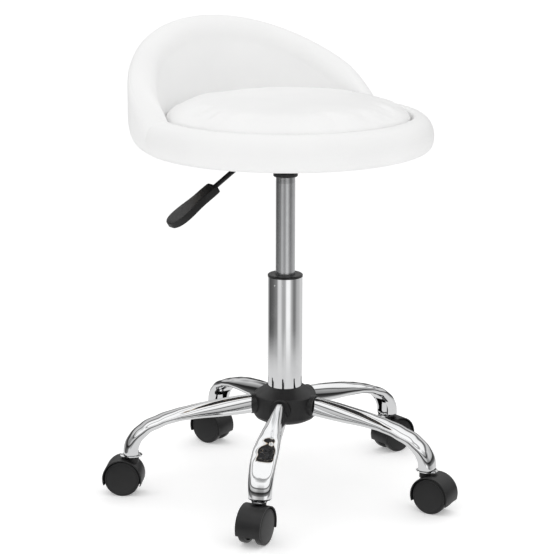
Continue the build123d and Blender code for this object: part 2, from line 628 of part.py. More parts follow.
def castor_stem():
    """The steel stem: a pin that the hood swivels on, a flange and the part in the socket."""
    low = BOSS_TOP + FACE_GAP
    foot = WHEEL_R - HOOD_R * sin(radians(HOOD_DROP)) + 12
    groove = SOCKET_Z + STEM_L - 6
    stem = turned([(0, foot), (STEM_PIN_R, foot), (STEM_PIN_R, low), (BOSS_R - 1, low), (BOSS_R - 1, SOCKET_Z),
                   (STEM_R, SOCKET_Z), (STEM_R, groove), (STEM_R - 1, groove), (STEM_R - 1, groove + 3),
                   (STEM_R, groove + 3), (STEM_R - 1, SOCKET_Z + STEM_L), (0, SOCKET_Z + STEM_L)])
    ring = tube(STEM_R, STEM_R - 0.95, groove + 0.2, groove + 2.8)
    ring -= Pos(STEM_R, 0, groove + 1.5) * Box(STEM_R, 1.5, 6)
    return [stem, ring]


def castor_wheel(side):
    """A moulded wheel with a domed outer face, a blind bore and a hollow on its inner face."""
    r, inner, outer = WHEEL_R, WHEEL_GAP / 2, WHEEL_GAP / 2 + WHEEL_W
    bore, deep = AXLE_R + RUN_FIT, outer - 1.5
    wheel = turned([(bore, inner), (r - 11, inner), (r - 10.5, inner + 4), (r - 4.5, inner + 4),
                    (r - 4, inner), (r - 1, inner), (r, inner + 1), (r, outer - 2.4), (r - 0.8, outer - 1.2),
                    (r - 2.6, outer - 0.8), (r * 0.6, outer - 0.3), (0, outer), (0, deep), (bore, deep)])
    return Pos(TRAIL, 0, WHEEL_R) * Rot(-90 * side, 0, 0) * wheel


def castor_axle():
    """The steel axle pressed through the hood's web."""
    reach = WHEEL_GAP / 2 + WHEEL_W - 1.8
    return across(AXLE_R, -reach, reach)


# ---------------------------------------------------------------- everything

def main():
    os.makedirs("parts", exist_ok=True)
    save("base_hub", base_hub())
    for i, angle in enumerate(LEG_ANGLES, 1):
        save(f"leg_{i}", leg(angle))
    save("stem_sockets", *[stem_socket(angle) for angle in LEG_ANGLES])
    upper, lower = hub_cover()
    save("hub_cover_upper", upper)
    save("hub_cover_lower", lower)

    save("column_tube", column_tube())
    save("column_bushing", column_bushing())
    save("bearing_lower_race", bearing_ring(BALLS_Z - RACE_H, BALLS_Z))
    save("bearing_balls", *bearing_balls())
    save("bearing_upper_race", bearing_ring(BUMP_Z - RACE_H + BALL_FIT, BUMP_Z))
    save("bump_stop", tube(BUMP_R, PISTON_ROD_R + RUN_FIT, BUMP_Z, BUMP_Z + BUMP_H))
    save("piston_rod", piston_rod())
    save("rod_clip", rod_clip())
    save("gas_cylinder", gas_cylinder())
    save("valve_pin", valve_pin())

    save("taper_socket", taper_socket())
    save("seat_plate", seat_plate())
    save("plate_bolts", *[plate_bolt(x, y) for x, y in bolt_places()])
    save("tee_nuts", *[tee_nut(x, y) for x, y in bolt_places()])
    save("seat_board", seat_board())
    save("under_cover", under_cover())
    save("lever_pin", Pos(-PIVOT_X, 0, LEVER_Z) * Rot(90, 0, 0) * Cylinder(PIVOT_R, SADDLE_W + 2))
    save("lever_rod", lever_rod())
    save("lever_grip", lever_grip())

    save("back_shell", back_shell())
    save("shell_screws", *[shell_screw(x, y) for x, y in screw_places()])
    save("seat_cushion", cushion_form(0))
    rim, back = upholstery()
    save("rim_upholstery", rim)
    save("back_upholstery", back)

    for i in range(LEG_COUNT):
        place, name = castor_place(i), f"castor_{i + 1}"
        save(name + "_hood", place * castor_hood())
        save(name + "_stem", *[place * piece for piece in castor_stem()])
        save(name + "_axle", place * castor_axle())
        save(name + "_wheel_left", place * castor_wheel(1))
        save(name + "_wheel_right", place * castor_wheel(-1))


main()
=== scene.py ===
import json
from math import atan2, cos, pi, radians, sin, sqrt

import bmesh
import bpy
from mathutils import Matrix, Vector, noise


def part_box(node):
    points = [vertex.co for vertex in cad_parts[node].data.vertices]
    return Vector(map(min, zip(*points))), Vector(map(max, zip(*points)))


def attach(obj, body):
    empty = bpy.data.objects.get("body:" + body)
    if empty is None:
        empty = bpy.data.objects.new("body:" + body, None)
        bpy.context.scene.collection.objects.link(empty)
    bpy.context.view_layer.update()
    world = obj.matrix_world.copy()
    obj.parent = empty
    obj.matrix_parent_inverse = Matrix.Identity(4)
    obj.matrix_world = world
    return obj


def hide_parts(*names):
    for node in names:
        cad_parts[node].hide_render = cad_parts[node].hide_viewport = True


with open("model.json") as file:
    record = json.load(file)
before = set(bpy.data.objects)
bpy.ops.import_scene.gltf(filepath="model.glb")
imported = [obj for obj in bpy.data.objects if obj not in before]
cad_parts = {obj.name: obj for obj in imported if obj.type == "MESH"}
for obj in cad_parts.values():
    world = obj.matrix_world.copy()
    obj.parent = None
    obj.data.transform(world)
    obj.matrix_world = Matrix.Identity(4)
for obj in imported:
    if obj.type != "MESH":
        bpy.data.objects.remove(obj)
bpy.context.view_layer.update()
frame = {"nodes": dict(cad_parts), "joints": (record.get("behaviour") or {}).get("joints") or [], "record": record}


# ---------------------------------------------------------------- the studio
# A plain round white table under a large soft tent, with the camera in front and to the left.
# Grey and dark panels stand round the tent's foot, its walls are striped in grey and its roof
# is banded: they give the chrome its lines.

STUDIO_TURN = -35.0
CAMERA_PLACE = (0.0, -2.7598, 0.9914)
CAMERA_YAW, CAMERA_PITCH, CAMERA_ROLL = -0.234, 13.719, 0.131
LENS, SENSOR = 126.97, 36.0
TENT_STRENGTH, DIFFUSE_EXTRA, BACKDROP = 1.05, 0.08, 1.05
EVEN_SHARE = 0.8
WHITE, GROUND_GREY = (1, 1, 1, 1), (0.66, 0.66, 0.66, 1)
PANELS_FROM, PANELS_TO, WALLS_FADE = (-0.285, -0.262), (-0.17, -0.12), (0.75, 0.45)
FLOOR_R, FLOOR_WHITE, FLOOR_GLOW = 0.75, 0.95, 0.25
FADE_FROM, FADE_TO = 0.72, 0.98


def stops(*pairs):
    """Ramp stops from (place, tone) pairs, all neutral greys."""
    return tuple((place, (tone, tone, tone)) for place, tone in pairs)


# Right round the tent: 0 and 1 are behind the stool, 0.5 is the camera's side, more is to its right.
PANELS = stops((0.0, 0.55), (0.10, 0.45), (0.14, 0.07), (0.25, 0.11), (0.34, 0.22), (0.375, 0.68),
               (0.41, 0.70), (0.455, 0.36), (0.50, 0.38), (0.53, 0.95), (0.58, 0.95), (0.62, 0.42),
               (0.665, 0.17), (0.70, 0.20), (0.74, 0.42), (0.78, 0.45), (0.84, 0.60), (0.99, 0.60))
WALLS = stops((0.0, 1.0), (0.12, 1.0), (0.16, 0.45), (0.27, 0.5), (0.31, 1.0), (0.42, 1.0), (0.45, 0.55),
              (0.49, 0.6), (0.52, 1.0), (0.64, 1.0), (0.67, 0.5), (0.75, 0.55), (0.79, 1.0), (1.0, 1.0))
# From straight down at 0 to straight up at 1, with the horizon at 0.5.
ROOF = stops((0.44, 0.20), (0.50, 0.05), (0.545, 0.04), (0.57, 0.45), (0.66, 0.62), (0.70, 0.10),
             (0.715, 0.10), (0.74, 0.90), (0.86, 1.0), (0.885, 0.35), (0.90, 0.35), (0.92, 1.0), (1.0, 1.0))


class Pattern:
    """One socket in a material's or the tent's nodes. Its + - and * add Math nodes."""

    def __init__(self, tree, socket):
        self.tree, self.socket = tree, socket

    def node(self, kind, settings, sockets, out=0):
        """Adds a node, sets it up, feeds its sockets, and gives back one of its outputs."""
        new = self.tree.nodes.new("ShaderNode" + kind)
        for name, value in settings.items():
            if name == "stops":
                ramp = new.color_ramp.elements
                for i, (place, colour) in enumerate(value):
                    stop = ramp[i] if i < 2 else ramp.new(place)
                    stop.position, stop.color = place, (*colour, 1)
            else:
                setattr(new, name, value)
        for name, value in sockets.items():
            if isinstance(value, Pattern):
                self.tree.links.new(value.socket, new.inputs[name])
            else:
                new.inputs[name].default_value = value
        return Pattern(self.tree, new.outputs[out])

    def maths(self, how, first, second):
        return self.node("Math", {"operation": how}, {0: first, 1: second})

    def __add__(self, other):
        return self.maths("ADD", self, other)

    def __radd__(self, other):
        return self.maths("ADD", other, self)

    def __sub__(self, other):
        return self.maths("SUBTRACT", self, other)

    def __rsub__(self, other):
        return self.maths("SUBTRACT", other, self)

    def __mul__(self, other):
        return self.maths("MULTIPLY", self, other)

    def __rmul__(self, other):
        return self.maths("MULTIPLY", other, self)

    def soft(self, low, high, at_low=0.0, at_high=1.0):
        """Runs smoothly from at_low to at_high as this value goes from low to high."""
        return self.node("MapRange", {"interpolation_type": "SMOOTHSTEP"},
                         {"Value": self, "From Min": low, "From Max": high,
                          "To Min": at_low, "To Max": at_high})


def deselect():
    for item in bpy.context.selected_objects:
        item.select_set(False)


def add_camera():
    yaw, pitch, roll = radians(CAMERA_YAW), radians(CAMERA_PITCH), radians(CAMERA_ROLL)
    ahead = Vector((sin(yaw) * cos(pitch), cos(yaw) * cos(pitch), -sin(pitch)))
    right = Vector((cos(yaw), -sin(yaw), 0.0))
    up = right.cross(ahead)
    side = right * cos(roll) + up * sin(roll)
    top = up * cos(roll) - right * sin(roll)
    turn = Matrix((side, top, -ahead)).transposed().to_4x4()
    camera = bpy.data.objects.new("camera", bpy.data.cameras.new("camera"))
    camera.data.lens, camera.data.sensor_width = LENS, SENSOR
    studio = Matrix.Rotation(radians(STUDIO_TURN), 4, "Z")
    camera.matrix_world = studio @ Matrix.Translation(CAMERA_PLACE) @ turn
    bpy.context.scene.collection.objects.link(camera)
    bpy.context.scene.camera = camera


def light_studio():
    """Paints the tent by direction: ground, panels round its foot, then striped walls under the roof."""
    world = bpy.data.worlds.new("tent")
    bpy.context.scene.world = world
    world.use_nodes = True
    tree = world.node_tree
    tree.nodes.clear()
    way = Pattern(tree, None).node("TexCoord", {}, {}, "Generated")
    way = way.node("VectorRotate", {"rotation_type": "Z_AXIS"},
                   {"Vector": way, "Angle": radians(-STUDIO_TURN)})
    across = way.node("SeparateXYZ", {}, {"Vector": way}, "X")
    back = way.node("SeparateXYZ", {}, {"Vector": way}, "Y")
    height = way.node("SeparateXYZ", {}, {"Vector": way}, "Z")
    turn = across.maths("ARCTAN2", across, 0.0 - back) * (0.5 / pi) + 0.5
    panels = turn.node("ValToRGB", {"stops": PANELS}, {"Fac": turn}, "Color")
    walls = turn.node("ValToRGB", {"stops": WALLS}, {"Fac": turn}, "Color")
    rise = height * 0.5 + 0.5
    roof = turn.node("ValToRGB", {"stops": ROOF}, {"Fac": rise}, "Color")
    upper = turn.node("MixRGB", {"blend_type": "MULTIPLY"},
                      {"Fac": height.soft(*WALLS_FADE), "Color1": roof, "Color2": walls})
    lower = turn.node("MixRGB", {},
                      {"Fac": height.soft(*PANELS_FROM), "Color1": GROUND_GREY, "Color2": panels})
    tone = turn.node("MixRGB", {}, {"Fac": height.soft(*PANELS_TO), "Color1": lower, "Color2": upper})
    soft = turn.node("LightPath", {}, {}, "Is Diffuse Ray")
    even = turn.node("MixRGB", {}, {"Fac": soft * EVEN_SHARE, "Color1": tone, "Color2": WHITE})
    lit = turn.node("Background", {}, {"Color": even, "Strength": soft * DIFFUSE_EXTRA + TENT_STRENGTH})
    plain = turn.node("Background", {}, {"Color": WHITE, "Strength": BACKDROP})
    seen = turn.node("LightPath", {}, {}, "Is Camera Ray")
    both = turn.node("MixShader", {}, {0: seen, 1: lit, 2: plain})
    output = tree.nodes.new("ShaderNodeOutputWorld")
    tree.links.new(both.socket, output.inputs["Surface"])
    bpy.context.scene.view_settings.view_transform = "Standard"


def lay_floor():
    """A round white table top that fades out at its edge."""
    deselect()
    bpy.ops.mesh.primitive_circle_add(vertices=96, radius=FLOOR_R, fill_type="NGON")
    floor = bpy.context.object
    floor.name = "floor"
    paper = bpy.data.materials.new("white_paper")
    paper.use_nodes = True
    shader = paper.node_tree.nodes["Principled BSDF"]
    shader.inputs["Base Color"].default_value = (FLOOR_WHITE, FLOOR_WHITE, FLOOR_WHITE, 1)
    shader.inputs["Roughness"].default_value = 0.9
    shader.inputs["Specular IOR Level"].default_value = 0.1
    shader.inputs["Emission Color"].default_value = WHITE
    shader.inputs["Emission Strength"].default_value = FLOOR_GLOW
    place = Pattern(paper.node_tree, None).node("TexCoord", {}, {}, "Object")
    away = place.node("VectorMath", {"operation": "LENGTH"}, {0: place}, "Value")
    fade = away.soft(FLOOR_R * FADE_FROM, FLOOR_R * FADE_TO, 1.0, 0.0)
    paper.node_tree.links.new(fade.socket, shader.inputs["Alpha"])
    floor.data.materials.append(paper)
    floor.visible_glossy = False


add_camera()
light_studio()
lay_floor()


# ---------------------------------------------------------------- rim and back upholstery
# A foam ring stapled round the board grows into the padded back: white coated leather
# drawn over foam, with a piping seam along the outside of the roll.

LEATHER = (0.925, 0.925, 0.922)
LEATHER_SHADE = (0.895, 0.895, 0.893)
GRAIN_PITCH = 0.0011
SEAM_Z = 0.5535
CREST_IN, FOOT_IN = 0.025, 0.0150
RIM_ROLL = 0.0285
BACK_HALF = 77.5
BACK_CURVE, FACE_CURVE, FOOT_CURVE = 0.85, 0.85, 0.87
ROLL_R, ROLL_IN = 0.0135, 0.034
ROLL_RISE, LEAN_RISE, LEAN_START = 0.055, 0.05, 0.6
BELLY_RISE = 0.034
IN_TOP_R, IN_TOP_Z = 0.196, 0.655
FOLD_IN, FOLD_UP = 0.012, 0.0026
BOARD_SLACK, SEAM_SLACK = 0.0004, 0.0004
PIPING, PIPING_AT = 0.0007, 0.46
ROLL_SHARES = (0.0, 0.14, 0.27, 0.36, 0.42, PIPING_AT, 0.50, 0.56, 0.65, 0.76, 0.88)
PINCH, PUCKER, WAVER, CREASE = 0.0006, 0.0005, 0.0009, 0.0004

rim_low, rim_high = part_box("rim_upholstery")
back_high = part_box("back_upholstery")[1]
board_low, board_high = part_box("seat_board")
cushion_low, cushion_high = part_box("seat_cushion")
rim_r = rim_high.x
crest_z = rim_high.z
rim_foot = rim_low.z
board_r = board_high.x
cushion_r = cushion_high.x
cushion_y = (cushion_low.y + cushion_high.y) / 2


def finish(name, steady):
    """A new material with its steady values set on its shader, and its Object coordinates."""
    material = bpy.data.materials.new(name)
    material.use_nodes = True
    for socket, value in steady.items():
        material.node_tree.nodes["Principled BSDF"].inputs[socket].default_value = value
    place = Pattern(material.node_tree, None).node("TexCoord", {}, {}, "Object")
    return material, place


def feed(material, patterns, relief=None, depth=0.0):
    """Links varying patterns to the shader, and a height pattern through one Bump node."""
    shader = material.node_tree.nodes["Principled BSDF"]
    for socket, pattern in patterns.items():
        material.node_tree.links.new(pattern.socket, shader.inputs[socket])
    if relief:
        bump = relief.node("Bump", {}, {"Height": relief, "Distance": depth, "Strength": 1.0})
        material.node_tree.links.new(bump.socket, shader.inputs["Normal"])
    return material


def speckle(place, scale, detail=2.0, roughness=0.5):
    """Noise of this many cells per metre, about 0.5."""
    return place.node("TexNoise", {}, {"Vector": place, "Scale": scale, "Detail": detail,
                                       "Roughness": roughness}, "Fac")


def tint(amount, first, second):
    """From the first colour to the second as the amount goes from 0 to 1."""
    return amount.node("MixRGB", {}, {"Fac": amount, "Color1": (*first, 1), "Color2": (*second, 1)})


def white_leather():
    """Coated leather: fine pebble grain, faint clouds of shade, a satin face."""
    material, place = finish("white_leather", {"Specular IOR Level": 0.42, "Coat Roughness": 0.35,
                                               "Coat Weight": 0.08})
    clouds = speckle(place, 9.0, 3.0)
    pebbles = place.node("TexVoronoi", {"feature": "SMOOTH_F1"},
                         {"Vector": place, "Scale": 1 / GRAIN_PITCH, "Smoothness": 0.6}, "Distance")
    fine = speckle(place, 2600.0)
    shade = clouds.soft(0.35, 0.7) * 0.7 + pebbles.soft(0.1, 0.7) * 0.3
    rough = 0.42 + clouds * 0.08 + fine * 0.05
    relief = pebbles * 0.8 + fine * 0.2
    return feed(material, {"Base Color": tint(shade, LEATHER, LEATHER_SHADE), "Roughness": rough},
                1.0 - relief, 0.00009)


leather = white_leather()


def shares(count):
    """This many evenly spaced shares from 0 towards 1, with 1 left out."""
    return [i / count for i in range(count)]


def eased(share):
    """The share again, starting and stopping softly."""
    return share * share * (3 - 2 * share)


def back_rise(phi):
    """Height of the back above the rim's crest at this angle from its middle."""
    share = min(1.0, abs(phi) / BACK_HALF)
    return (back_high.z - crest_z) * cos(pi / 2 * share) ** BACK_CURVE


def seam_radius(phi):
    """Distance from the column axis to the cushion's edge at this angle from the back's middle."""
    a = radians(phi)
    return cushion_y * cos(a) + sqrt((cushion_r + SEAM_SLACK) ** 2 - (cushion_y * sin(a)) ** 2)


def upholstery_section(phi):
    """A closed (radius, height) outline through rim and back, its number of points the same all round."""
    rise = back_rise(phi)
    share = eased(min(1.0, rise / ROLL_RISE))
    top = crest_z + rise
    seam_r = seam_radius(phi)
    full = rise / (back_high.z - crest_z)
    lean = eased(min(1.0, rise / LEAN_RISE)) * (LEAN_START + (1 - LEAN_START) * full)
    outside = rim_r + (back_high.y - rim_r) * lean

    def inside(z):
        return seam_r + (IN_TOP_R - seam_r) * ((z - SEAM_Z) / (IN_TOP_Z - SEAM_Z)) ** FACE_CURVE

    roll_out = RIM_ROLL + (ROLL_R - RIM_ROLL) * share
    roll_in = (crest_z - SEAM_Z) + (ROLL_IN - crest_z + SEAM_Z) * share
    mid = outside - ROLL_R
    crest_r = rim_r - CREST_IN + (mid - rim_r + CREST_IN) * share
    flat_r = rim_r - FOOT_IN
    side_top = top - roll_out
    belly_z = min(crest_z - RIM_ROLL + BELLY_RISE * lean, side_top - 0.0005)
    points = []
    for s in shares(4):
        points.append((board_r - FOLD_IN + (flat_r - board_r + FOLD_IN) * s, rim_foot + FOLD_UP * (1 - s)))
    for s in shares(14):
        a = s * pi / 2
        points.append((flat_r + (outside - flat_r) * sin(a) ** FOOT_CURVE,
                       belly_z - (belly_z - rim_foot) * cos(a) ** FOOT_CURVE))
    for s in shares(7):
        points.append((outside, belly_z + (side_top - belly_z) * s))
    for s in ROLL_SHARES:
        a = s * pi / 2
        dent = PIPING * share if s == PIPING_AT else 0.0
        points.append((crest_r + (outside - crest_r - dent) * cos(a), side_top + (roll_out - dent) * sin(a)))
    face_top = top - roll_in
    for s in shares(12):
        a = s * pi / 2
        points.append((crest_r - (crest_r - inside(face_top)) * sin(a), face_top + roll_in * cos(a)))
    for s in shares(12):
        z = face_top + (SEAM_Z - face_top) * s
        points.append((inside(z), z))
    points += [(seam_r, SEAM_Z), (seam_r - 0.0002, SEAM_Z - 0.003), (seam_r, SEAM_Z - 0.012),
               (seam_r, board_high.z + BOARD_SLACK), (board_r, board_high.z + BOARD_SLACK),
               (board_r + BOARD_SLACK, board_high.z), (board_r + BOARD_SLACK, board_low.z),
               (board_r, board_low.z - BOARD_SLACK)]
    return points


def upholstery_angles():
    """Angles round from the back's middle, closer together at the wing ends, where a seam runs down."""
    wing = [BACK_HALF - 1.2 + 0.4 * i for i in range(7)]
    even = [-180 + 1.875 * i for i in range(192)]
    rest = [a for a in even if abs(abs(a) - BACK_HALF) > 1.6]
    return sorted(rest + wing + [-a for a in wing])


def cover_wrinkle(point, rise):
    """Small pulls in the cover: puckers just above the seam, and a slow waver over the faces."""
    near_seam = max(0.0, 1 - abs(point.z - SEAM_Z - 0.006) / 0.02)
    pucker = noise.noise(point * 62.0) * PUCKER * near_seam
    waver = noise.noise(point * 13.0 + Vector((4, 7, 2))) * WAVER
    upright = Vector((point.x * 55, point.y * 55, point.z * 9))
    crease = noise.noise(upright) * CREASE * min(1.0, rise / 0.04)
    return pucker + waver + crease


def build_upholstery():
    """The cover over rim and back in one skin, from its sections all the way round."""
    angles = upholstery_angles()
    verts, count = [], len(upholstery_section(0.0))
    for phi in angles:
        a = radians(90 + phi)
        rise = back_rise(phi)
        pinch = PINCH * max(0.0, 1 - abs(abs(phi) - BACK_HALF) / 0.7)
        for r, z in upholstery_section(phi):
            spot = Vector((r * cos(a), r * sin(a), z))
            outer = r > rim_r - 0.02
            hidden = r < board_r + 0.001 and z < SEAM_Z - 0.001
            if not hidden:
                away = Vector((cos(a), sin(a), 0)) * (1 if outer else -1)
                spot += away * (cover_wrinkle(spot, rise) - (pinch if outer else 0.0))
            verts.append(spot)
    faces = []
    for i in range(len(angles)):
        j = (i + 1) % len(angles)
        for k in range(count):
            m = (k + 1) % count
            faces.append((i * count + k, j * count + k, j * count + m, i * count + m))
    mesh = bpy.data.meshes.new("upholstery")
    mesh.from_pydata(verts, [], faces)
    piece = bpy.data.objects.new("upholstery", mesh)
    bpy.context.scene.collection.objects.link(piece)
    return piece


def take_up(piece):
    """Makes this the one selected and active piece."""
    deselect()
    bpy.context.view_layer.objects.active = piece
    piece.select_set(True)


def edit(piece):
    take_up(piece)
    bpy.ops.object.mode_set(mode="EDIT")


def done():
    bpy.ops.object.mode_set(mode="OBJECT")


def outward(piece):
    """Turns every face outwards. On an open form too, the highest face has to look up."""
    edit(piece)
    bpy.ops.mesh.select_all(action="SELECT")
    bpy.ops.mesh.normals_make_consistent(inside=False)
    top = max(bmesh.from_edit_mesh(piece.data).faces, key=lambda f: f.calc_center_median().z)
    if top.normal.z < 0:
        bpy.ops.mesh.flip_normals()
    done()


def smooth_over(piece, levels):
    """Applies a subdivision surface and shades the piece smooth."""
    take_up(piece)
    rounding = piece.modifiers.new("rounding", "SUBSURF")
    rounding.levels = rounding.render_levels = levels
    bpy.ops.object.modifier_apply(modifier="rounding")
    bpy.ops.object.shade_smooth()


def dress(piece, material, slot, body, *nodes):
    """Gives a finished piece its material, the body it rides on and the nodes it stands for; its slot argument is
    not used.
    """
    piece.data.materials.clear()
    piece.data.materials.append(material)
    if nodes:
        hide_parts(*nodes)
    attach(piece, body)


upholstery = build_upholstery()
outward(upholstery)
smooth_over(upholstery, 1)
dress(upholstery, leather, "white_leather", "seat", "rim_upholstery", "back_upholstery")


# ---------------------------------------------------------------- seat cushion
# A crowned foam disc in a white leather cover, pushed down into the ring. The cover is
# blown up a little by a cloth simulation, held where it goes down behind the seam.

# The crown from its edge to its middle: share of the radius, share of the height.
CROWN = ((1.0, 0.0), (1.0, 0.13), (0.994, 0.30), (0.974, 0.46), (0.94, 0.59), (0.89, 0.70), (0.81, 0.80),
         (0.70, 0.88), (0.55, 0.94), (0.38, 0.975), (0.20, 0.99), (0.08, 1.0))
CUSHION_SIDES = 96
BASE_GAP, SQUEEZE, CUSHION_EDGE = 0.0006, 0.0008, 0.002
COVER_SLACK, COVER_CAP, COVER_VOXEL = 0.0030, 0.0045, 0.005
COVER_PRESSURE, COVER_FRAMES, COVER_HELD = 4.0, 20, 0.010


def build_cushion():
    """The foam's shape: a flat base on the board, an upright side and a crown."""
    base = board_high.z + BASE_GAP
    edge_z = SEAM_Z - CUSHION_EDGE
    crown_h = cushion_high.z - edge_z - COVER_SLACK * 0.6
    r = cushion_r + SQUEEZE
    rings = [(r * 0.5, base), (r * 0.96, base), (r, base + 0.004), (r, base + 0.014)]
    rings += [(r * s, edge_z + crown_h * h) for s, h in CROWN]
    verts = [Vector((0, cushion_y, base))]
    for radius, z in rings:
        for i in range(CUSHION_SIDES):
            a = 2 * pi * i / CUSHION_SIDES
            verts.append(Vector((radius * cos(a), cushion_y + radius * sin(a), z)))
    verts.append(Vector((0, cushion_y, edge_z + crown_h)))
    faces = []
    last = len(verts) - 1
    for i in range(CUSHION_SIDES):
        j = (i + 1) % CUSHION_SIDES
        faces.append((0, 1 + j, 1 + i))
        for k in range(len(rings) - 1):
            low, high = 1 + k * CUSHION_SIDES, 1 + (k + 1) * CUSHION_SIDES
            faces.append((low + i, low + j, high + j, high + i))
        top = 1 + (len(rings) - 1) * CUSHION_SIDES
        faces.append((top + i, top + j, last))
    mesh = bpy.data.meshes.new("cushion")
    mesh.from_pydata(verts, [], faces)
    piece = bpy.data.objects.new("cushion", mesh)
    bpy.context.scene.collection.objects.link(piece)
    return piece


def blow_up(piece, held):
    """Lets the cover settle as cloth under a little pressure, with no point moving past the cap."""
    take_up(piece)
    even = piece.modifiers.new("even", "REMESH")
    even.mode, even.voxel_size = "VOXEL", COVER_VOXEL
    bpy.ops.object.modifier_apply(modifier="even")
    group = piece.vertex_groups.new(name="held")
    group.add([v.index for v in piece.data.vertices if held(v.co)], 1.0, "REPLACE")
    start = [v.co.copy() for v in piece.data.vertices]
    cloth = piece.modifiers.new("cover", "CLOTH")
    cloth.settings.quality = 6
    cloth.settings.mass = 0.3
    cloth.settings.tension_stiffness = cloth.settings.compression_stiffness = 12
    cloth.settings.bending_stiffness = 0.6
    cloth.settings.use_pressure = True
    cloth.settings.uniform_pressure_force = COVER_PRESSURE
    cloth.settings.effector_weights.gravity = 0
    cloth.settings.vertex_group_mass = "held"
    for step in range(1, COVER_FRAMES + 1):
        bpy.context.scene.frame_set(step)
    settled = piece.evaluated_get(bpy.context.evaluated_depsgraph_get()).data
    ends = [v.co.copy() for v in settled.vertices]
    piece.modifiers.remove(cloth)
    for vertex, before, after in zip(piece.data.vertices, start, ends):
        move = after - before
        vertex.co = before + move * min(1.0, COVER_CAP / max(move.length, 1e-9))
    bpy.context.scene.frame_set(1)


cushion = build_cushion()
outward(cushion)
blow_up(cushion, lambda spot: spot.z < SEAM_Z - COVER_HELD)
smooth_over(cushion, 1)
dress(cushion, leather, "white_leather", "seat", "seat_cushion")


# ---------------------------------------------------------------- legs
# Five legs pressed from steel tube and chromed: tall with a narrow ridge at the hub, then
# flattened and turned down to the castor, with the inner wall cut open at the foot.

LEG_WALL = 0.0016
LEG_START = 0.0285
# Each station: share of the way out, share of the way down, depth, width and how much of a ridge.
LEG_STATIONS = (
    (0.000, 0.007, 0.0255, 0.0225, 0.45), (0.086, 0.024, 0.0258, 0.0232, 0.45),
    (0.180, 0.046, 0.0262, 0.0265, 0.5), (0.350, 0.090, 0.0240, 0.0300, 0.5),
    (0.563, 0.155, 0.0175, 0.0338, 0.35), (0.675, 0.210, 0.0140, 0.0362, 0.15),
    (0.792, 0.308, 0.0130, 0.0376, 0.0), (0.909, 0.462, 0.0145, 0.0368, 0.0),
    (0.981, 0.655, 0.0175, 0.0350, 0.0), (1.010, 0.830, 0.0210, 0.0332, 0.0),
    (1.014, 1.000, 0.0220, 0.0322, 0.0),
)
LEG_DIPS = (4, 5, 5, 6, 10, 17, 28, 43, 60, 78, 90)
# The half section's corners from top to bottom: share of the half width, share of the half depth.
RIDGED = ((0.13, 1.0), (0.30, 0.80), (0.60, 0.20), (0.88, -0.40), (0.99, -0.72), (0.52, -1.0))
ROUNDED = ((0.36, 1.0), (0.77, 0.79), (0.97, 0.38), (0.97, -0.38), (0.77, -0.79), (0.36, -1.0))
RING_SHRINK = 0.955
EDGE_SHARP, LOW_EDGE_SHARE = (0.75, 0.75, 0.7, 0.45, 0.2, 0.05), 0.6
WINDOW_HALF, WINDOW_RISE = 0.0105, 0.030
NEAR = 1e-5

socket_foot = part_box("stem_sockets")[0].z
hub_low, hub_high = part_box("base_hub")
hub_height = (hub_low.z + hub_high.z) / 2


def swivel_spot(number):
    """Where this castor's stem turns, at the foot of its leg."""
    return next(j["pos_m"] for j in frame["joints"] if j["name"] == f"castor_{number}_swivel")


stem_circle = Vector(swivel_spot(1)).to_2d().length


def pick(kind, test):
    """In edit mode, selects the vertices, edges or faces that pass the test."""
    bpy.ops.mesh.select_mode(type=kind)
    bpy.ops.mesh.select_all(action="DESELECT")
    mesh = bmesh.from_edit_mesh(bpy.context.edit_object.data)
    for item in {"VERT": mesh.verts, "EDGE": mesh.edges, "FACE": mesh.faces}[kind]:
        if test(item):
            item.select_set(True)
    mesh.select_flush_mode()
    bmesh.update_edit_mesh(bpy.context.edit_object.data)


def leg_rows(depth, width, ridged):
    """The six levels of a leg's section, (height, half width): a ridge on a broad foot, or an oval."""
    rows = []
    for (sharp_y, sharp_z), (round_y, round_z) in zip(RIDGED, ROUNDED):
        half = (round_y + (sharp_y - round_y) * ridged) * width / 2
        up = (round_z + (sharp_z - round_z) * ridged) * depth / 2
        rows.append((up / RING_SHRINK, half / RING_SHRINK))
    return rows


def leg_line():
    """The leg's centre line as a bezier curve, and how far along it each station lies."""
    deselect()
    bpy.ops.curve.primitive_bezier_curve_add()
    line = bpy.context.object
    line.data.twist_mode = "Z_UP"
    line.data.resolution_u = 24
    spline = line.data.splines[0]
    spline.bezier_points.add(len(LEG_STATIONS) - 2)
    reach, rise = stem_circle - LEG_START, hub_height - socket_foot
    spots = [Vector((LEG_START + s[0] * reach, 0, hub_height - s[1] * rise)) for s in LEG_STATIONS]
    for i, (point, spot) in enumerate(zip(spline.bezier_points, spots)):
        dip = radians(LEG_DIPS[i])
        way = Vector((cos(dip), 0, -sin(dip)))
        before = (spot - spots[max(0, i - 1)]).length / 3
        after = (spots[min(len(spots) - 1, i + 1)] - spot).length / 3
        point.handle_left_type = point.handle_right_type = "FREE"
        point.co, point.handle_left, point.handle_right = spot, spot - way * before, spot + way * after
    places = [0.0]
    for first, second in zip(spots, spots[1:]):
        places.append(places[-1] + (second - first).length * 1.004)
    return line, places


